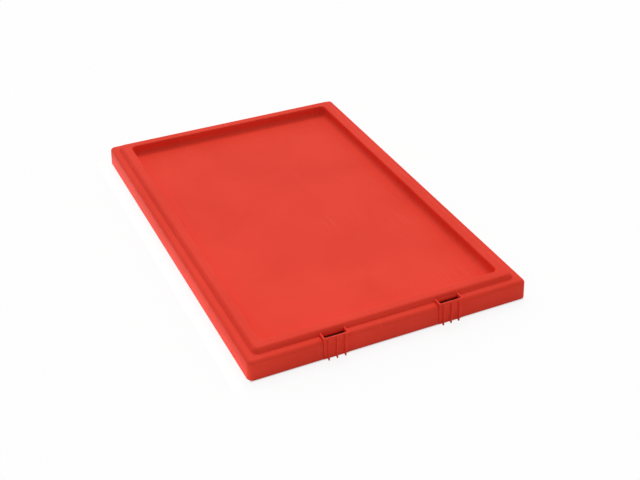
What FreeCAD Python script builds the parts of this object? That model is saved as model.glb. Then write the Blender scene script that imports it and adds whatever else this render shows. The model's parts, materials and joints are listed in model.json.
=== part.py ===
import FreeCAD, Part
import os
import Sketcher
from FreeCAD import Placement, Rotation, Vector

# Clip-on lid of a stack-and-nest tote, moulded in one shot of polyethylene.
# Millimetres, +Z up. The origin is under the middle of the lid's outline, level with the tips of
# the grip ribs, which are the lowest points. +Y runs along the lid and -Y is its front end.
# The lid itself is one body, and each of the two sprung catches at its front end is another.

doc = FreeCAD.newDocument("tote_lid")

# Driving sizes
sheet = doc.addObject("Spreadsheet::Sheet", "Sizes")
SIZES = [
    ("lid_length", 609.0, "skirt's foot, outside, along Y"),
    ("lid_width", 402.0, "skirt's foot, outside, along X"),
    ("corner_radius", 8.0, "skirt's foot, seen from above"),
    ("ledge_height", 27.8, "skirt's lower edge to the ledge"),
    ("skirt_lean", 1.3, "how far the skirt leans in from its foot to the ledge"),
    ("ledge_round", 5.5, "round from the skirt into the ledge"),
    ("ledge_width", 12.2, "skirt's foot to the foot of the raised rim, seen from above"),
    ("lid_wall", 2.5, "skirt, ledge, rim and recess wall"),
    ("rim_height", 7.1, "raised rim above the ledge"),
    ("rim_slope_run", 3.6, "how far the rim's outer wall leans in"),
    ("rim_corner_radius", 9.0, "corners of the rim's foot"),
    ("rim_round", 4.5, "outer top edge of the rim"),
    ("rim_width", 17.5, "rim's foot to the lip of the recess"),
    ("recess_depth", 16.0, "rim's top to the panel"),
    ("recess_corner_radius", 8.0, "recess corners, seen from above"),
    ("recess_cove", 7.0, "round between the recess wall and the panel"),
    ("recess_lip_round", 2.2, "inner top edge of the rim"),
    ("panel_thickness", 2.8, "recessed panel"),
    ("tray_round", 6.0, "lower edge of the tray under the recess"),
    ("floor_rib_height", 6.0, "stiffening ribs below the panel"),
    ("floor_rib_thickness", 2.0, "stiffening ribs below the panel"),
    ("long_rib_count", 3.0, "stiffening ribs along Y"),
    ("long_rib_pitch", 85.0, "between stiffening ribs along Y"),
    ("cross_rib_count", 5.0, "stiffening ribs along X"),
    ("cross_rib_pitch", 91.0, "between stiffening ribs along X"),
    ("catch_spacing", 165.0, "between the two catches"),
    ("catch_width", 35.0, "outside, along X"),
    ("catch_wall", 2.0, "front and side walls of a catch"),
    ("catch_proud", 0.6, "catch's face in front of the skirt's foot"),
    ("catch_side_gap", 0.2, "slit between a catch and the lid, each side"),
    ("catch_root_gap", 0.3, "slit between a catch and the raised rim"),
    ("catch_top_drop", 3.0, "raised rim's top to the top of a catch"),
    ("catch_wall_fall", 0.8, "how far the side walls fall towards the rim"),
    ("catch_edge_round", 1.0, "upright front edges of a catch"),
    ("hook_reach", 8.0, "hook's tip behind the skirt's foot"),
    ("hook_below_ledge", 18.5, "ledge's underside to the top of the hook"),
    ("hook_nose", 1.5, "thickness of the hook's tip"),
    ("grip_rib_count", 3.0, "grip ribs on a catch"),
    ("grip_rib_pitch", 11.6, "between grip ribs"),
    ("grip_rib_width", 1.8, "along X"),
    ("grip_rib_depth", 3.0, "in front of the catch's face"),
    ("grip_rib_start", 1.0, "top of the catch to the top of the ribs"),
    ("grip_rib_lead", 2.0, "height of the slope at the top of a rib"),
    ("grip_rib_round", 0.4, "outer edges of a rib"),
    ("tooth_drop", 1.5, "how far the grip ribs hang below the skirt"),
    ("tooth_flat", 0.8, "flat foot of a rib's tip"),
    ("bead_reach", 7.5, "rear holding bead's crest behind the skirt's foot"),
    ("bead_lead", 6.0, "height of the slope below the bead's crest"),
]
for row, (alias, size, note) in enumerate(SIZES, start=1):
    sheet.set(f"A{row}", note)
    sheet.set(f"B{row}", str(size))
    sheet.setAlias(f"B{row}", alias)
doc.recompute()

# Heights and lengths that follow from the driving sizes, as expressions
SKIRT_FOOT = "Sizes.tooth_drop"
LEDGE_TOP = "(Sizes.tooth_drop + Sizes.ledge_height)"
LEDGE_UNDER = f"({LEDGE_TOP} - Sizes.lid_wall)"
RIM_TOP = f"({LEDGE_TOP} + Sizes.rim_height)"
PANEL_UNDER = f"({RIM_TOP} - Sizes.recess_depth - Sizes.panel_thickness)"
RIM_SLANT = "sqrt(Sizes.rim_slope_run ^ 2 + Sizes.rim_height ^ 2)"
RIM_TAPER = "-atan(Sizes.rim_slope_run / Sizes.rim_height)"
RECESS_INSET = "(Sizes.ledge_width + Sizes.rim_width)"
RECESS_WIDTH = f"(Sizes.lid_width - 2 * {RECESS_INSET})"
RECESS_LENGTH = f"(Sizes.lid_length - 2 * {RECESS_INSET})"
TRAY_WIDTH = f"({RECESS_WIDTH} + 2 * Sizes.lid_wall)"
TRAY_LENGTH = f"({RECESS_LENGTH} + 2 * Sizes.lid_wall)"
HOOK_TOP = f"({LEDGE_UNDER} - Sizes.hook_below_ledge)"
CATCH_TOP = f"({RIM_TOP} - Sizes.catch_top_drop)"
SKIRT_TAPER = "-atan(Sizes.skirt_lean / Sizes.ledge_height)"
CENTRING = "((Sizes.catch_proud + Sizes.grip_rib_depth) / 2)"


def value(expression):
    """Number that an expression on the sheet's sizes gives."""
    return float(sheet.evalExpression(expression.replace("Sizes.", "")))


def origin_feature(body, role):
    """Plane or axis of a body's own origin."""
    return [item for item in body.Origin.OriginFeatures if item.Role == role][0]


def add_sketch(body, name, role, offset="0"):
    """Empty sketch on one of the body's origin planes, moved along its normal."""
    sketch = body.newObject("Sketcher::SketchObject", name)
    sketch.AttachmentSupport = (origin_feature(body, role), [""])
    sketch.MapMode = "FlatFace"
    sketch.AttachmentOffset = Placement(Vector(0, 0, value(offset)), Rotation())
    if offset != "0":
        sketch.setExpression("AttachmentOffset.Base.z", offset)
    return sketch


def bind(sketch, constraint, name, expression):
    """Adds a dimension, names it and ties it to the sheet."""
    index = sketch.addConstraint(constraint)
    sketch.renameConstraint(index, name)
    sketch.setExpression(f"Constraints.{name}", expression)


def draw_rounded_rectangle(sketch, width, length, radius):
    """Rectangle with round corners, centred on the sketch's origin."""
    half_width = value(width) / 2
    half_length = value(length) / 2
    round_size = value(radius)
    right = half_width - round_size
    top = half_length - round_size
    z_axis = Vector(0, 0, 1)
    quarter = FreeCAD.Units.parseQuantity("90 deg").getValueAs("rad").Value
    lines = [
        ((-right, -half_length), (right, -half_length)),
        ((half_width, -top), (half_width, top)),
        ((right, half_length), (-right, half_length)),
        ((-half_width, top), (-half_width, -top)),
    ]
    corners = [(right, -top, 3), (right, top, 0), (-right, top, 1), (-right, -top, 2)]
    for start, end in lines:
        sketch.addGeometry(Part.LineSegment(Vector(*start, 0), Vector(*end, 0)), False)
    for x, y, turn in corners:
        circle = Part.Circle(Vector(x, y, 0), z_axis, round_size)
        sketch.addGeometry(Part.ArcOfCircle(circle, turn * quarter, (turn + 1) * quarter), False)
    for side in range(4):
        corner = 4 + side
        sketch.addConstraint(Sketcher.Constraint("Tangent", side, 2, corner, 1))
        sketch.addConstraint(Sketcher.Constraint("Tangent", corner, 2, (side + 1) % 4, 1))
    for side in (0, 2):
        sketch.addConstraint(Sketcher.Constraint("Horizontal", side))
    for side in (1, 3):
        sketch.addConstraint(Sketcher.Constraint("Vertical", side))
    for corner in (5, 6, 7):
        sketch.addConstraint(Sketcher.Constraint("Equal", 4, corner))
    sketch.addConstraint(Sketcher.Constraint("Symmetric", 4, 3, 6, 3, -1, 1))
    bind(sketch, Sketcher.Constraint("Radius", 4, round_size), "radius", radius)
    bind(sketch, Sketcher.Constraint("DistanceX", 3, 1, 1, 1, 2 * half_width), "width", width)
    bind(sketch, Sketcher.Constraint("DistanceY", 0, 1, 2, 2, 2 * half_length), "length", length)


def draw_outline(sketch, corners):
    """Closed outline through corners whose coordinates are expressions."""
    first = sketch.GeometryCount
    points = [Vector(value(x), value(y), 0) for x, y in corners]
    for here, there in zip(points, points[1:] + points[:1]):
        sketch.addGeometry(Part.LineSegment(here, there), False)
    for number, (x, y) in enumerate(corners):
        line = first + number
        following = first + (number + 1) % len(corners)
        sketch.addConstraint(Sketcher.Constraint("Coincident", line, 2, following, 1))
        across = Sketcher.Constraint("DistanceX", -1, 1, line, 1, points[number].x)
        upward = Sketcher.Constraint("DistanceY", -1, 1, line, 1, points[number].y)
        bind(sketch, across, f"x{line}", x)
        bind(sketch, upward, f"y{line}", y)


def pad(body, name, sketch, length, taper=None, symmetric=False, downward=False):
    """Solid grown from a sketch."""
    feature = body.newObject("PartDesign::Pad", name)
    feature.Profile = sketch
    feature.setExpression("Length", length)
    feature.Midplane = symmetric
    feature.Reversed = downward
    if taper:
        feature.setExpression("TaperAngle", taper)
    doc.recompute()
    return feature


def pocket(body, name, sketch, length=None, taper=None, upward=True):
    """Cut made by a sketch, through everything where no length is given."""
    before = body.Shape.Volume
    feature = body.newObject("PartDesign::Pocket", name)
    feature.Profile = sketch
    feature.Reversed = upward
    if length:
        feature.setExpression("Length", length)
    else:
        feature.Type = "ThroughAll"
    if taper:
        feature.setExpression("TaperAngle", taper)
    doc.recompute()
    if body.Shape.Volume >= before:
        raise ValueError(f"{name} cuts nothing")
    return feature


def fillet(body, name, base, wanted, radius):
    """Rounds the edges of base whose box passes the test."""
    edges = [f"Edge{number}" for number, edge in enumerate(base.Shape.Edges, start=1)
             if wanted(edge.BoundBox)]
    feature = body.newObject("PartDesign::Fillet", name)
    feature.Base = (base, edges)
    feature.setExpression("Radius", radius)
    doc.recompute()
    return feature


def repeat(body, name, original, axis, count, pitch):
    """Evenly spaced copies of a feature along one of the body's axes."""
    pattern = body.newObject("PartDesign::LinearPattern", name)
    pattern.Originals = [original]
    pattern.Direction = (origin_feature(body, axis), [""])
    pattern.setExpression("Occurrences", count)
    pattern.setExpression("Length", f"({count} - 1) * {pitch}")
    body.Tip = pattern
    doc.recompute()
    return pattern


def flat_at(height):
    """Test for edges that lie flat at one height."""
    level = value(height)
    return lambda box: abs(box.ZMin - level) < 0.01 and abs(box.ZMax - level) < 0.01


# Lid: skirt and raised rim as one block, hollowed from below, then the recessed tray
lid = doc.addObject("PartDesign::Body", "Lid")
lid.Label = "lid_shell"

block_sketch = add_sketch(lid, "BlockSketch", "XY_Plane", SKIRT_FOOT)
draw_rounded_rectangle(block_sketch, "Sizes.lid_width", "Sizes.lid_length", "Sizes.corner_radius")
block = pad(lid, "Block", block_sketch, "Sizes.ledge_height", taper=SKIRT_TAPER)
ledge = fillet(lid, "LedgeRound", block, flat_at(LEDGE_TOP), "Sizes.ledge_round")

rim_sketch = add_sketch(lid, "RimSketch", "XY_Plane", LEDGE_TOP)
draw_rounded_rectangle(
    rim_sketch,
    "Sizes.lid_width - 2 * Sizes.ledge_width",
    "Sizes.lid_length - 2 * Sizes.ledge_width",
    "Sizes.rim_corner_radius",
)
rim = pad(lid, "Rim", rim_sketch, "Sizes.rim_height", taper=RIM_TAPER)
rim_edge = fillet(lid, "RimRound", rim, flat_at(RIM_TOP), "Sizes.rim_round")

# The hollow keeps one wall thickness under the skirt, the ledge and the rim.
hollow_sketch = add_sketch(lid, "HollowSketch", "XY_Plane", SKIRT_FOOT)
draw_rounded_rectangle(
    hollow_sketch,
    "Sizes.lid_width - 2 * Sizes.lid_wall",
    "Sizes.lid_length - 2 * Sizes.lid_wall",
    "Sizes.corner_radius - Sizes.lid_wall",
)
hollow = pocket(lid, "Hollow", hollow_sketch, "Sizes.ledge_height - Sizes.lid_wall",
                taper=SKIRT_TAPER)
hollow_edge = fillet(lid, "HollowRound", hollow, flat_at(LEDGE_UNDER),
                     "Sizes.ledge_round - Sizes.lid_wall")

slant_shift = f"(Sizes.lid_wall * ({RIM_SLANT} - Sizes.rim_slope_run) / Sizes.rim_height)"
rim_hollow_sketch = add_sketch(lid, "RimHollowSketch", "XY_Plane", LEDGE_UNDER)
draw_rounded_rectangle(
    rim_hollow_sketch,
    f"Sizes.lid_width - 2 * (Sizes.ledge_width + {slant_shift})",
    f"Sizes.lid_length - 2 * (Sizes.ledge_width + {slant_shift})",
    f"Sizes.rim_corner_radius - {slant_shift}",
)
rim_hollow = pocket(lid, "RimHollow", rim_hollow_sketch, "Sizes.rim_height", taper=RIM_TAPER)

tray_sketch = add_sketch(lid, "TraySketch", "XY_Plane", PANEL_UNDER)
draw_rounded_rectangle(tray_sketch, TRAY_WIDTH, TRAY_LENGTH,
                       "Sizes.recess_corner_radius + Sizes.lid_wall")
tray = pad(lid, "Tray", tray_sketch, f"{RIM_TOP} - {PANEL_UNDER}")
tray_edge = fillet(lid, "TrayRound", tray, flat_at(PANEL_UNDER), "Sizes.tray_round")

recess_sketch = add_sketch(lid, "RecessSketch", "XY_Plane", RIM_TOP)
draw_rounded_rectangle(recess_sketch, RECESS_WIDTH, RECESS_LENGTH, "Sizes.recess_corner_radius")
recess = pocket(lid, "Recess", recess_sketch, "Sizes.recess_depth", upward=False)
cove = fillet(lid, "RecessCove", recess, flat_at(f"{RIM_TOP} - Sizes.recess_depth"),
              "Sizes.recess_cove")
recess_half = value(RECESS_WIDTH) / 2 + 0.01
recess_reach = value(RECESS_LENGTH) / 2 + 0.01
at_rim_top = flat_at(RIM_TOP)
lip = fillet(
    lid, "RecessLip", cove,
    lambda box: at_rim_top(box) and max(abs(box.XMin), abs(box.XMax)) < recess_half
    and max(abs(box.YMin), abs(box.YMax)) < recess_reach,
    "Sizes.recess_lip_round",
)

# Stiffening ribs under the panel stop where the tray's lower edge starts to round.
long_sketch = add_sketch(lid, "LongRibSketch", "XY_Plane", PANEL_UNDER)
long_start = "(-(Sizes.long_rib_count - 1) / 2 * Sizes.long_rib_pitch)"
long_half = f"({TRAY_LENGTH} / 2 - Sizes.tray_round)"
draw_outline(long_sketch, [
    (f"{long_start} - Sizes.floor_rib_thickness / 2", f"-{long_half}"),
    (f"{long_start} + Sizes.floor_rib_thickness / 2", f"-{long_half}"),
    (f"{long_start} + Sizes.floor_rib_thickness / 2", long_half),
    (f"{long_start} - Sizes.floor_rib_thickness / 2", long_half),
])
long_rib = pad(lid, "LongRib", long_sketch, "Sizes.floor_rib_height", downward=True)
repeat(lid, "LongRibs", long_rib, "X_Axis", "Sizes.long_rib_count", "Sizes.long_rib_pitch")

cross_sketch = add_sketch(lid, "CrossRibSketch", "XY_Plane", PANEL_UNDER)
cross_start = "(-(Sizes.cross_rib_count - 1) / 2 * Sizes.cross_rib_pitch)"
cross_half = f"({TRAY_WIDTH} / 2 - Sizes.tray_round)"
draw_outline(cross_sketch, [
    (f"-{cross_half}", f"{cross_start} - Sizes.floor_rib_thickness / 2"),
    (cross_half, f"{cross_start} - Sizes.floor_rib_thickness / 2"),
    (cross_half, f"{cross_start} + Sizes.floor_rib_thickness / 2"),
    (f"-{cross_half}", f"{cross_start} + Sizes.floor_rib_thickness / 2"),
])
cross_rib = pad(lid, "CrossRib", cross_sketch, "Sizes.floor_rib_height", downward=True)
repeat(lid, "CrossRibs", cross_rib, "Y_Axis", "Sizes.cross_rib_count", "Sizes.cross_rib_pitch")

# Two beads inside the rear skirt hold the lid's rear end under the tote's rim.
inner_half = "(Sizes.catch_width / 2 - Sizes.catch_wall)"
bead_sketch = add_sketch(lid, "BeadSketch", "YZ_Plane", "-Sizes.catch_spacing / 2")
draw_outline(bead_sketch, [
    ("Sizes.lid_length / 2 - Sizes.lid_wall / 2", f"{HOOK_TOP} - Sizes.bead_lead"),
    ("Sizes.lid_length / 2 - Sizes.lid_wall / 2",
     f"{HOOK_TOP} + Sizes.bead_reach - Sizes.lid_wall / 2"),
    ("Sizes.lid_length / 2 - Sizes.bead_reach", HOOK_TOP),
    ("Sizes.lid_length / 2 - Sizes.bead_reach", f"{HOOK_TOP} - Sizes.hook_nose"),
])
bead = pad(lid, "Bead", bead_sketch, f"2 * {inner_half}", symmetric=True)
repeat(lid, "Beads", bead, "X_Axis", "2", "Sizes.catch_spacing")

# A notch through the skirt and the ledge takes each catch.
notch_half = "(Sizes.catch_width / 2 + Sizes.catch_side_gap)"
notch_back = "(Sizes.lid_length / 2 - Sizes.ledge_width)"
notch_front = "(Sizes.lid_length / 2 + Sizes.catch_proud)"
notch_sketch = add_sketch(lid, "NotchSketch", "XY_Plane")
for side in ("-", "+"):
    centre = f"{side}Sizes.catch_spacing / 2"
    draw_outline(notch_sketch, [
        (f"{centre} - {notch_half}", f"-{notch_back}"),
        (f"{centre} + {notch_half}", f"-{notch_back}"),
        (f"{centre} + {notch_half}", f"-{notch_front}"),
        (f"{centre} - {notch_half}", f"-{notch_front}"),
    ])
pocket(lid, "Notches", notch_sketch)
lid.setExpression("Placement.Base.y", CENTRING)


def make_catch(name, label, side):
    """Sprung catch: an open-topped pocket with a hook inside and grip ribs outside.

    In the catch's own frame y = 0 is the skirt's foot and -y points away from the lid.
    """
    catch = doc.addObject("PartDesign::Body", name)
    catch.Label = label

    face = "(-Sizes.catch_proud)"
    inner_face = "(Sizes.catch_wall - Sizes.catch_proud)"
    side_top = f"({CATCH_TOP} - Sizes.catch_wall_fall)"
    root = f"(Sizes.ledge_width - Sizes.catch_root_gap * {RIM_SLANT} / Sizes.rim_height)"
    root_top = f"({root} + ({side_top} - {LEDGE_TOP}) * Sizes.rim_slope_run / Sizes.rim_height)"
    body_sketch = add_sketch(catch, name + "BlockSketch", "YZ_Plane")
    draw_outline(body_sketch, [
        (face, SKIRT_FOOT),
        ("Sizes.lid_wall", SKIRT_FOOT),
        ("Sizes.lid_wall", LEDGE_UNDER),
        (root, LEDGE_UNDER),
        (root, LEDGE_TOP),
        (root_top, side_top),
        (inner_face, CATCH_TOP),
        (face, CATCH_TOP),
    ])
    body_pad = pad(catch, name + "Block", body_sketch, "Sizes.catch_width", symmetric=True)
    front = value(face)
    fillet(catch, name + "Edges", body_pad,
           lambda box: abs(box.YMin - front) < 0.01 and abs(box.YMax - front) < 0.01
           and box.ZLength > box.XLength,
           "min(Sizes.catch_edge_round; Sizes.catch_wall / 2)")

    pocket_sketch = add_sketch(catch, name + "PocketSketch", "XY_Plane")
    draw_outline(pocket_sketch, [
        (f"-{inner_half}", inner_face),
        (inner_half, inner_face),
        (inner_half, f"{RECESS_INSET}"),
        (f"-{inner_half}", f"{RECESS_INSET}"),
    ])
    pocket(catch, name + "Pocket", pocket_sketch)

    hook_sketch = add_sketch(catch, name + "HookSketch", "YZ_Plane")
    draw_outline(hook_sketch, [
        (inner_face, SKIRT_FOOT),
        ("Sizes.hook_reach", f"{HOOK_TOP} - Sizes.hook_nose"),
        ("Sizes.hook_reach", HOOK_TOP),
        (inner_face, HOOK_TOP),
    ])
    pad(catch, name + "Hook", hook_sketch, f"2 * {inner_half}", symmetric=True)

    first_rib = "(-(Sizes.grip_rib_count - 1) / 2 * Sizes.grip_rib_pitch)"
    rib_face = f"({face} - Sizes.grip_rib_depth)"
    rib_top = f"({CATCH_TOP} - Sizes.grip_rib_start)"
    rib_sketch = add_sketch(catch, name + "RibSketch", "YZ_Plane", first_rib)
    draw_outline(rib_sketch, [
        (face, SKIRT_FOOT),
        (face, rib_top),
        (rib_face, f"{rib_top} - Sizes.grip_rib_lead"),
        (rib_face, "0"),
        (f"{rib_face} + Sizes.tooth_flat", "0"),
    ])
    rib = pad(catch, name + "Rib", rib_sketch, "Sizes.grip_rib_width", symmetric=True)
    ribs = repeat(catch, name + "Ribs", rib, "X_Axis",
                  "Sizes.grip_rib_count", "Sizes.grip_rib_pitch")
    rib_front = value(rib_face)
    fillet(catch, name + "RibRound", ribs,
           lambda box: abs(box.YMin - rib_front) < 0.01 and abs(box.YMax - rib_front) < 0.01
           and box.ZLength > box.XLength,
           "min(Sizes.grip_rib_round; Sizes.grip_rib_width / 3)")

    catch.setExpression("Placement.Base.x", f"{side}Sizes.catch_spacing / 2")
    catch.setExpression("Placement.Base.y", f"{CENTRING} - Sizes.lid_length / 2")
    return catch


catches = [
    make_catch("CatchLeft", "catch_left", "-"),
    make_catch("CatchRight", "catch_right", "+"),
]
doc.recompute()

# Nothing is written unless every feature and every solid is sound.
for item in doc.Objects:
    if "Invalid" in item.State or "Error" in item.State:
        raise ValueError(f"{item.Label} failed: {item.State}")
parts = [lid] + catches
for part in parts:
    if part.Shape.isNull() or not part.Shape.isValid() or len(part.Shape.Solids) != 1:
        raise ValueError(f"{part.Label} isn't one sound solid")

os.makedirs("parts", exist_ok=True)
for part in parts:
    part.Shape.exportStep(f"parts/{part.Label}.step")
    box = part.Shape.BoundBox
    print(f"{part.Label}: {part.Shape.Volume:.0f} mm3, x {box.XMin:.2f} to {box.XMax:.2f}, "
          f"y {box.YMin:.2f} to {box.YMax:.2f}, z {box.ZMin:.2f} to {box.ZMax:.2f}")
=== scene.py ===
"""Detachable lid of a stack-and-nest tote: the finish of its moulded pieces, and a plain studio."""

import json
import math

import bpy
from mathutils import Matrix, Vector

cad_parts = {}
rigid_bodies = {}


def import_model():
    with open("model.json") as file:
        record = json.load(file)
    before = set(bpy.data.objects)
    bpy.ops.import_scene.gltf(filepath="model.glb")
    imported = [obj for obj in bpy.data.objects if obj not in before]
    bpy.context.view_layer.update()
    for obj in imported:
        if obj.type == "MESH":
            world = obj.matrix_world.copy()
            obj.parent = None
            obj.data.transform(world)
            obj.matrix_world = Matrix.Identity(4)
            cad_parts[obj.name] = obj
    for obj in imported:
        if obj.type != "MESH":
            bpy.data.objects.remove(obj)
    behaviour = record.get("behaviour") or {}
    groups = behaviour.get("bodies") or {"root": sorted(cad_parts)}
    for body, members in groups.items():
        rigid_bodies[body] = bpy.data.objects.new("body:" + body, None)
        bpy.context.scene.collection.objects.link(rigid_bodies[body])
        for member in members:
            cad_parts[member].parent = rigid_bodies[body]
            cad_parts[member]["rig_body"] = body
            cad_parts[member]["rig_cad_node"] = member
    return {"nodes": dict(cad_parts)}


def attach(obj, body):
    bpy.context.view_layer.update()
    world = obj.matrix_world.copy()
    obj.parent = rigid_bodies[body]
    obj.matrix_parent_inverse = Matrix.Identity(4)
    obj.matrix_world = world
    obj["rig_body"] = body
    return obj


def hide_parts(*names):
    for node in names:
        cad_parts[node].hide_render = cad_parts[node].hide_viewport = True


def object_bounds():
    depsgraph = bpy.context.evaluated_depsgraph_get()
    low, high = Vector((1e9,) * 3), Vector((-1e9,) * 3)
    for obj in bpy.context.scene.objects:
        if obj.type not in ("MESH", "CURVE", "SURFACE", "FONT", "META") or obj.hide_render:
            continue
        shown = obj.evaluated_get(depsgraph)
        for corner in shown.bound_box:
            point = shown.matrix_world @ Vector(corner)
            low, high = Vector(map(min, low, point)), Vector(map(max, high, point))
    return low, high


bl_info = {
    "name": "Tote Lid",
    "version": (1, 0, 0),
    "blender": (4, 5, 0),
    "location": "View3D > Sidebar > Tote Lid",
    "description": "Finishes the moulded lid of a stack-and-nest tote and sets up its studio",
    "category": "Object",
}

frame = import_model()
CAD_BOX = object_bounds()

LID_NODE = "lid_shell"
CATCH_NODES = [name for name in sorted(frame["nodes"]) if name.startswith("catch_")]
LID_WIDTH = CAD_BOX[1][0] - CAD_BOX[0][0]
LID_LENGTH = CAD_BOX[1][1] - CAD_BOX[0][1]
PLASTIC_NAME = "moulded_polyethylene_red"

# How a CAD mesh is cleaned before its edges are rounded.
MERGE_DISTANCE = 1e-6
FLAT_ANGLE = math.radians(0.2)
SHARP_ANGLE = math.radians(50)
ROUND_SEGMENTS = 2

# Polyethylene's own IOR is about 1.54. Both values are matched to the weak sheen of the real lid.
PLASTIC_IOR = 1.46
PLASTIC_SPECULAR = 0.06

# Shares of the lid's half sizes between which the floor turns from dark to white.
DARK_FLOOR_END = 0.978
WHITE_FLOOR_START = 0.99

SIDE_LAMP_LENGTH = 0.62
SIDE_LAMP_HEIGHT = 0.008
SENSOR_WIDTH_MM = 36.0


def linear_from_hex(code):
    """Linear RGB of an sRGB hex value."""
    channels = [int(code[start:start + 2], 16) / 255 for start in (1, 3, 5)]
    return tuple(
        channel / 12.92 if channel <= 0.04045 else ((channel + 0.055) / 1.055) ** 2.4
        for channel in channels
    )


class LidFinish(bpy.types.PropertyGroup):
    """Colours and surface sizes of the moulded polyethylene"""

    plastic_colour: bpy.props.FloatVectorProperty(
        name="Plastic", description="Colour of the moulded polyethylene",
        subtype="COLOR", size=3, min=0, max=1, default=linear_from_hex("#EE4432"))
    flow_colour: bpy.props.FloatVectorProperty(
        name="Flow marks", description="Colour where the melt cooled a little faster",
        subtype="COLOR", size=3, min=0, max=1, default=linear_from_hex("#E63E2C"))
    scuff_colour: bpy.props.FloatVectorProperty(
        name="Scuffs", description="Paler colour of rubbed polyethylene",
        subtype="COLOR", size=3, min=0, max=1, default=linear_from_hex("#F06654"))
    edge_round: bpy.props.FloatProperty(
        name="Edge round", description="Radius that the mould leaves on every small edge",
        unit="LENGTH", min=0, default=0.0003)
    smooth_angle: bpy.props.FloatProperty(
        name="Smooth angle", description="Faces that meet at less than this are shaded as one",
        subtype="ANGLE", default=math.radians(28))
    grain_size: bpy.props.FloatProperty(
        name="Grain", description="Spacing of the mould's spark-eroded grain as drawn",
        unit="LENGTH", min=0.0001, default=0.0022)
    flow_size: bpy.props.FloatProperty(
        name="Flow size", description="Width of the faint marks that the flowing melt leaves",
        unit="LENGTH", min=0.001, default=0.12)
    gloss_roughness: bpy.props.FloatProperty(
        name="Roughness", description="Roughness of the untouched surface",
        subtype="FACTOR", min=0, max=1, default=0.48)
    rubbed_roughness: bpy.props.FloatProperty(
        name="Rubbed roughness", description="Roughness where totes have been stacked and slid",
        subtype="FACTOR", min=0, max=1, default=0.62)


class LidStage(bpy.types.PropertyGroup):
    """Floor, lights and camera around the lid"""

    floor_size: bpy.props.FloatProperty(
        name="Floor", description="Side of the floor", unit="LENGTH", default=12.0)
    floor_colour: bpy.props.FloatVectorProperty(
        name="Floor colour", description="Plain pale floor",
        subtype="COLOR", size=3, min=0, max=1, default=linear_from_hex("#FBFBFB"))
    floor_white: bpy.props.FloatProperty(
        name="Floor white", description="Share of the floor that the camera sees as plain white",
        subtype="FACTOR", min=0, max=1, default=0.88)
    sky_strength: bpy.props.FloatProperty(
        name="Tent", description="Strength of the light tent in front and above", default=0.47)
    back_strength: bpy.props.FloatProperty(
        name="Tent's back", description="Strength of the light tent's back wall", default=1.25)
    mirrored_strength: bpy.props.FloatProperty(
        name="Tent in reflections", description="Strength of the tent that reflections show",
        default=0.3)
    backdrop_strength: bpy.props.FloatProperty(
        name="Backdrop", description="Strength of the tent that the camera sees", default=0.985)
    back_side: bpy.props.FloatVectorProperty(
        name="Back side", description="Direction of the light tent's back wall",
        subtype="DIRECTION", size=3, default=(0.35, 0.94, 0.0))
    key_strength: bpy.props.FloatProperty(
        name="Key light", description="Strength of the soft light from above and behind",
        default=1.12)
    key_spread: bpy.props.FloatProperty(
        name="Key spread", description="Angle that the soft light fills", subtype="ANGLE",
        default=math.radians(34))
    key_place: bpy.props.FloatVectorProperty(
        name="Key direction", description="Where the soft light comes from",
        subtype="DIRECTION", size=3, default=(0.16, 0.42, 0.89))
    side_power: bpy.props.FloatProperty(
        name="Side light", description="Power of the low strip lamp on the left",
        unit="POWER", default=0.034)
    side_place: bpy.props.FloatVectorProperty(
        name="Side place", description="Where the strip lamp lies",
        subtype="TRANSLATION", size=3, default=(-0.223, 0.0, 0.0045))
    camera_place: bpy.props.FloatVectorProperty(
        name="Camera place", description="Where the camera stands",
        subtype="TRANSLATION", size=3, default=(-0.5391, -1.2442, 0.8648))
    camera_azimuth: bpy.props.FloatProperty(
        name="Azimuth", description="Camera's turn from the front", subtype="ANGLE",
        default=math.radians(-24.80))
    camera_elevation: bpy.props.FloatProperty(
        name="Elevation", description="How steeply the camera looks down", subtype="ANGLE",
        default=math.radians(33.39))
    camera_roll: bpy.props.FloatProperty(
        name="Roll", description="Camera's tilt about its own axis", subtype="ANGLE",
        default=math.radians(-0.468))
    camera_lens: bpy.props.FloatProperty(
        name="Lens", description="Focal length on a 36 mm sensor", unit="CAMERA", default=60.43)


def add_node(owner, kind, inputs=None, **settings):
    """Adds a node to a material or world. Inputs are values, or (node, output) pairs to link."""
    node = owner.node_tree.nodes.new(kind)
    for name, value in settings.items():
        setattr(node, name, value)
    for key, value in (inputs or {}).items():
        if isinstance(value, tuple) and isinstance(value[0], bpy.types.Node):
            owner.node_tree.links.new(value[0].outputs[value[1]], node.inputs[key])
        else:
            node.inputs[key].default_value = value
    return node


def new_material(name):
    """Empty node material and its output node."""
    material = bpy.data.materials.new(name)
    material.use_nodes = True
    material.node_tree.nodes.clear()
    return material, add_node(material, "ShaderNodeOutputMaterial")


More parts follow.
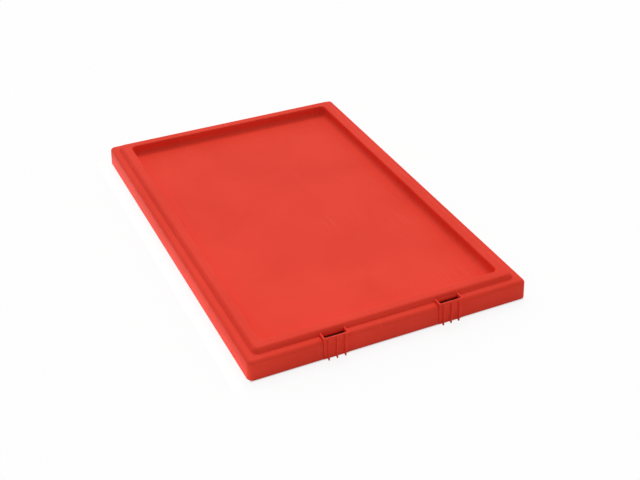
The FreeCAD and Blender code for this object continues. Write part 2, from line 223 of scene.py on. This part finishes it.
def moulded_polyethylene():
    """High-density polyethylene, injection moulded in a lightly spark-eroded mould.

    A satin, slightly waxy red: soft wide highlights, faint broad flow marks, a fine even grain,
    and paler, duller rub lines in scattered patches, where totes are stacked and slid.
    """
    finish = bpy.context.scene.lid_finish
    material, output = new_material(PLASTIC_NAME)
    place = add_node(material, "ShaderNodeTexCoord")

    flow = add_node(material, "ShaderNodeTexNoise", {
        "Vector": (place, "Object"), "Scale": 1 / finish.flow_size, "Detail": 3.0,
        "Roughness": 0.5, "Distortion": 0.6})
    flow_share = add_node(material, "ShaderNodeMapRange", {
        "Value": (flow, "Fac"), "From Min": 0.35, "From Max": 0.75})
    coloured = add_node(material, "ShaderNodeMix", {
        0: (flow_share, "Result"), 6: (*finish.plastic_colour, 1),
        7: (*finish.flow_colour, 1)}, data_type="RGBA")

    # Rub lines run along the lid, the way totes slide off a stack.
    stretch = add_node(material, "ShaderNodeMapping", {
        "Vector": (place, "Object"), "Scale": (900.0, 14.0, 30.0),
        "Rotation": (0, 0, math.radians(4))})
    lines = add_node(material, "ShaderNodeTexNoise", {
        "Vector": (stretch, "Vector"), "Scale": 1.0, "Detail": 2.0})
    patches = add_node(material, "ShaderNodeTexNoise", {
        "Vector": (place, "Object"), "Scale": 11.0, "Detail": 2.0})
    line_share = add_node(material, "ShaderNodeMapRange", {
        "Value": (lines, "Fac"), "From Min": 0.62, "From Max": 0.74})
    patch_share = add_node(material, "ShaderNodeMapRange", {
        "Value": (patches, "Fac"), "From Min": 0.48, "From Max": 0.66, "To Max": 0.55})
    rubbed = add_node(material, "ShaderNodeMath", {
        0: (line_share, "Result"), 1: (patch_share, "Result")}, operation="MULTIPLY")
    scuffed = add_node(material, "ShaderNodeMix", {
        0: (rubbed, "Value"), 6: (coloured, 2), 7: (*finish.scuff_colour, 1)},
        data_type="RGBA")

    roughness = add_node(material, "ShaderNodeMapRange", {
        "Value": (rubbed, "Value"), "To Min": finish.gloss_roughness,
        "To Max": finish.rubbed_roughness})

    # The real grain is about 0.1 mm and would not show, so it is drawn coarser and shallower.
    grain = add_node(material, "ShaderNodeTexNoise", {
        "Vector": (place, "Object"), "Scale": 1 / finish.grain_size, "Detail": 2.0,
        "Roughness": 0.6})
    grain_bump = add_node(material, "ShaderNodeBump", {
        "Height": (grain, "Fac"), "Strength": 0.10, "Distance": 0.0002})
    swell_bump = add_node(material, "ShaderNodeBump", {
        "Height": (flow, "Fac"), "Strength": 0.25, "Distance": 0.004,
        "Normal": (grain_bump, "Normal")})

    shader = add_node(material, "ShaderNodeBsdfPrincipled", {
        "Base Color": (scuffed, 2), "Roughness": (roughness, "Result"),
        "Normal": (swell_bump, "Normal"), "IOR": PLASTIC_IOR,
        "Specular IOR Level": PLASTIC_SPECULAR})
    material.node_tree.links.new(shader.outputs["BSDF"], output.inputs["Surface"])
    return material


def select_only(thing):
    """Makes one object the only selected and the active one."""
    bpy.ops.object.select_all(action="DESELECT")
    thing.select_set(True)
    bpy.context.view_layer.objects.active = thing


def finish_node(node, name, material):
    """Copies a moulded piece, closes its faces and rounds the edges that the mould leaves sharp."""
    finish = bpy.context.scene.lid_finish
    select_only(frame["nodes"][node])
    bpy.ops.object.duplicate()
    piece = bpy.context.view_layer.objects.active
    piece.name = name
    piece.data.name = name
    select_only(piece)
    bpy.ops.object.mode_set(mode="EDIT")
    bpy.ops.mesh.select_all(action="SELECT")
    bpy.ops.mesh.remove_doubles(threshold=MERGE_DISTANCE)
    bpy.ops.mesh.dissolve_limited(angle_limit=FLAT_ANGLE)
    bpy.ops.object.mode_set(mode="OBJECT")
    bevel = piece.modifiers.new("edge_round", "BEVEL")
    bevel.width = finish.edge_round
    bevel.segments = ROUND_SEGMENTS
    bevel.limit_method = "ANGLE"
    bevel.angle_limit = SHARP_ANGLE
    bevel.harden_normals = False
    bpy.ops.object.modifier_apply(modifier=bevel.name)
    bpy.ops.object.shade_smooth_by_angle(angle=finish.smooth_angle)
    piece.data.materials.clear()
    piece.data.materials.append(material)
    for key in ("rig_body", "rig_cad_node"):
        if key in piece:
            del piece[key]
    piece.parent = None
    return piece


class LID_OT_shell(bpy.types.Operator):
    """Finish the lid: skirt, ledge, raised rim and recessed panel"""

    bl_idname = "tote_lid.shell"
    bl_label = "Finish Lid"

    def execute(self, context):
        piece = finish_node(LID_NODE, "lid", moulded_polyethylene())
        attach(piece, "lid")
        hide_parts(LID_NODE)
        return {"FINISHED"}


class LID_OT_catches(bpy.types.Operator):
    """Finish the two sprung catches at the front end"""

    bl_idname = "tote_lid.catches"
    bl_label = "Finish Catches"

    def execute(self, context):
        material = bpy.data.materials.get(PLASTIC_NAME) or moulded_polyethylene()
        for node in CATCH_NODES:
            piece = finish_node(node, node.replace("catch_", "sprung_catch_"), material)
            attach(piece, node)
            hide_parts(node)
        return {"FINISHED"}


class LID_OT_stage(bpy.types.Operator):
    """Lay the pale floor, hang the lights and place the camera"""

    bl_idname = "tote_lid.stage"
    bl_label = "Set Stage"

    def execute(self, context):
        stage = context.scene.lid_stage
        lay_floor(stage)
        light_world(context.scene, stage)
        hang_key(stage)
        lay_side_lamp(stage)
        place_camera(context.scene, stage)
        context.scene.view_settings.view_transform = "Standard"
        return {"FINISHED"}


def lay_floor(stage):
    """White vinyl sweep, seen mostly as plain white, which keeps the lid's soft shadow."""
    bpy.ops.object.select_all(action="DESELECT")
    bpy.ops.mesh.primitive_plane_add(size=stage.floor_size, location=(0, 0, 0))
    floor = bpy.context.view_layer.objects.active
    floor.name = "floor"
    material, output = new_material("white_vinyl_sweep")
    vinyl = add_node(material, "ShaderNodeBsdfDiffuse", {"Color": (*stage.floor_colour, 1)})
    white = add_node(material, "ShaderNodeEmission", {"Color": (1, 1, 1, 1), "Strength": 1.0})
    path = add_node(material, "ShaderNodeLightPath")
    mirrored = add_node(material, "ShaderNodeMath", {
        0: (path, "Is Glossy Ray"), 1: (path, "Is Transmission Ray")}, operation="MAXIMUM")
    seen = add_node(material, "ShaderNodeMath", {
        0: (path, "Is Camera Ray"), 1: (mirrored, "Value")}, operation="MAXIMUM")
    # The floor under the lid is left out of the white, because it shows through the slits.
    place = add_node(material, "ShaderNodeTexCoord")
    inside = add_node(material, "ShaderNodeVectorMath", {
        0: (place, "Object"), 1: (2 / LID_WIDTH, 2 / LID_LENGTH, 0)}, operation="MULTIPLY")
    across = add_node(material, "ShaderNodeSeparateXYZ", {"Vector": (inside, "Vector")})
    across_x = add_node(material, "ShaderNodeMath", {0: (across, "X")}, operation="ABSOLUTE")
    across_y = add_node(material, "ShaderNodeMath", {0: (across, "Y")}, operation="ABSOLUTE")
    farther = add_node(material, "ShaderNodeMath", {
        0: (across_x, "Value"), 1: (across_y, "Value")}, operation="MAXIMUM")
    beyond = add_node(material, "ShaderNodeMapRange", {
        "Value": (farther, "Value"), "From Min": DARK_FLOOR_END, "From Max": WHITE_FLOOR_START,
        "To Max": stage.floor_white})
    share = add_node(material, "ShaderNodeMath", {
        0: (seen, "Value"), 1: (beyond, "Result")}, operation="MULTIPLY")
    shader = add_node(material, "ShaderNodeMixShader", {
        0: (share, "Value"), 1: (vinyl, "BSDF"), 2: (white, "Emission")})
    material.node_tree.links.new(shader.outputs["Shader"], output.inputs["Surface"])
    floor.data.materials.append(material)


def light_world(scene, stage):
    """Light tent of white cloth, even in front and above and brighter towards its back wall."""
    world = bpy.data.worlds.new("light_tent")
    world.use_nodes = True
    world.node_tree.nodes.clear()
    place = add_node(world, "ShaderNodeTexCoord")
    behind = add_node(world, "ShaderNodeVectorMath", {
        0: (place, "Generated"), 1: stage.back_side}, operation="DOT_PRODUCT")
    lit = add_node(world, "ShaderNodeMapRange", {
        "Value": (behind, "Value"), "To Min": stage.sky_strength, "To Max": stage.back_strength})
    # Reflections see the tent's cloth as even, and the camera sees it as plain white.
    path = add_node(world, "ShaderNodeLightPath")
    mirrored = add_node(world, "ShaderNodeMix", {
        0: (path, "Is Glossy Ray"), 2: (lit, "Result"), 3: stage.mirrored_strength})
    strength = add_node(world, "ShaderNodeMix", {
        0: (path, "Is Camera Ray"), 2: (mirrored, "Result"), 3: stage.backdrop_strength})
    tent = add_node(world, "ShaderNodeBackground", {
        "Color": (1, 1, 1, 1), "Strength": (strength, "Result")})
    output = add_node(world, "ShaderNodeOutputWorld")
    world.node_tree.links.new(tent.outputs["Background"], output.inputs["Surface"])
    scene.world = world


def hang_key(stage):
    """Wide soft light that comes the same from far off over the whole floor."""
    bpy.ops.object.light_add(type="SUN", location=stage.key_place)
    lamp = bpy.context.view_layer.objects.active
    lamp.name = "key"
    lamp.data.name = "key"
    lamp.data.energy = stage.key_strength
    lamp.data.angle = stage.key_spread
    lamp.rotation_euler = Vector(stage.key_place).to_track_quat("Z", "Y").to_euler()


def lay_side_lamp(stage):
    """Low strip lamp that lightens the left side of the skirt."""
    bpy.ops.object.light_add(type="AREA", location=stage.side_place)
    lamp = bpy.context.view_layer.objects.active
    lamp.name = "side"
    lamp.data.name = "side"
    lamp.data.shape = "RECTANGLE"
    lamp.data.size = SIDE_LAMP_LENGTH
    lamp.data.size_y = SIDE_LAMP_HEIGHT
    lamp.data.energy = stage.side_power
    lamp.visible_camera = False
    lamp.visible_glossy = False
    lamp.rotation_euler = (math.pi / 2, 0, -math.pi / 2)


def place_camera(scene, stage):
    """Camera at the photograph's angle, distance and focal length."""
    turn = (Matrix.Rotation(stage.camera_azimuth, 4, "Z")
            @ Matrix.Rotation(math.pi / 2 - stage.camera_elevation, 4, "X")
            @ Matrix.Rotation(stage.camera_roll, 4, "Z"))
    bpy.ops.object.camera_add(location=stage.camera_place, rotation=turn.to_euler())
    camera = bpy.context.view_layer.objects.active
    camera.name = "camera"
    camera.data.sensor_width = SENSOR_WIDTH_MM
    camera.data.lens = stage.camera_lens
    scene.camera = camera


class LID_PT_panel(bpy.types.Panel):
    """Sidebar panel with the lid's steps and settings"""

    bl_idname = "LID_PT_panel"
    bl_label = "Tote Lid"
    bl_space_type = "VIEW_3D"
    bl_region_type = "UI"
    bl_category = "Tote Lid"

    def draw(self, context):
        for operator in OPERATORS:
            self.layout.operator(operator.bl_idname)
        for settings in (context.scene.lid_finish, context.scene.lid_stage):
            column = self.layout.column()
            for name in settings.bl_rna.properties.keys():
                if name not in ("rna_type", "name"):
                    column.prop(settings, name)


OPERATORS = (LID_OT_shell, LID_OT_catches, LID_OT_stage)
CLASSES = (LidFinish, LidStage) + OPERATORS + (LID_PT_panel,)


def register():
    for each in CLASSES:
        bpy.utils.register_class(each)
    bpy.types.Scene.lid_finish = bpy.props.PointerProperty(type=LidFinish)
    bpy.types.Scene.lid_stage = bpy.props.PointerProperty(type=LidStage)


def unregister():
    del bpy.types.Scene.lid_stage
    del bpy.types.Scene.lid_finish
    for each in reversed(CLASSES):
        bpy.utils.unregister_class(each)


def main():
    register()
    bpy.ops.tote_lid.shell()
    bpy.ops.tote_lid.catches()
    bpy.ops.tote_lid.stage()


if __name__ == "__main__":
    main()
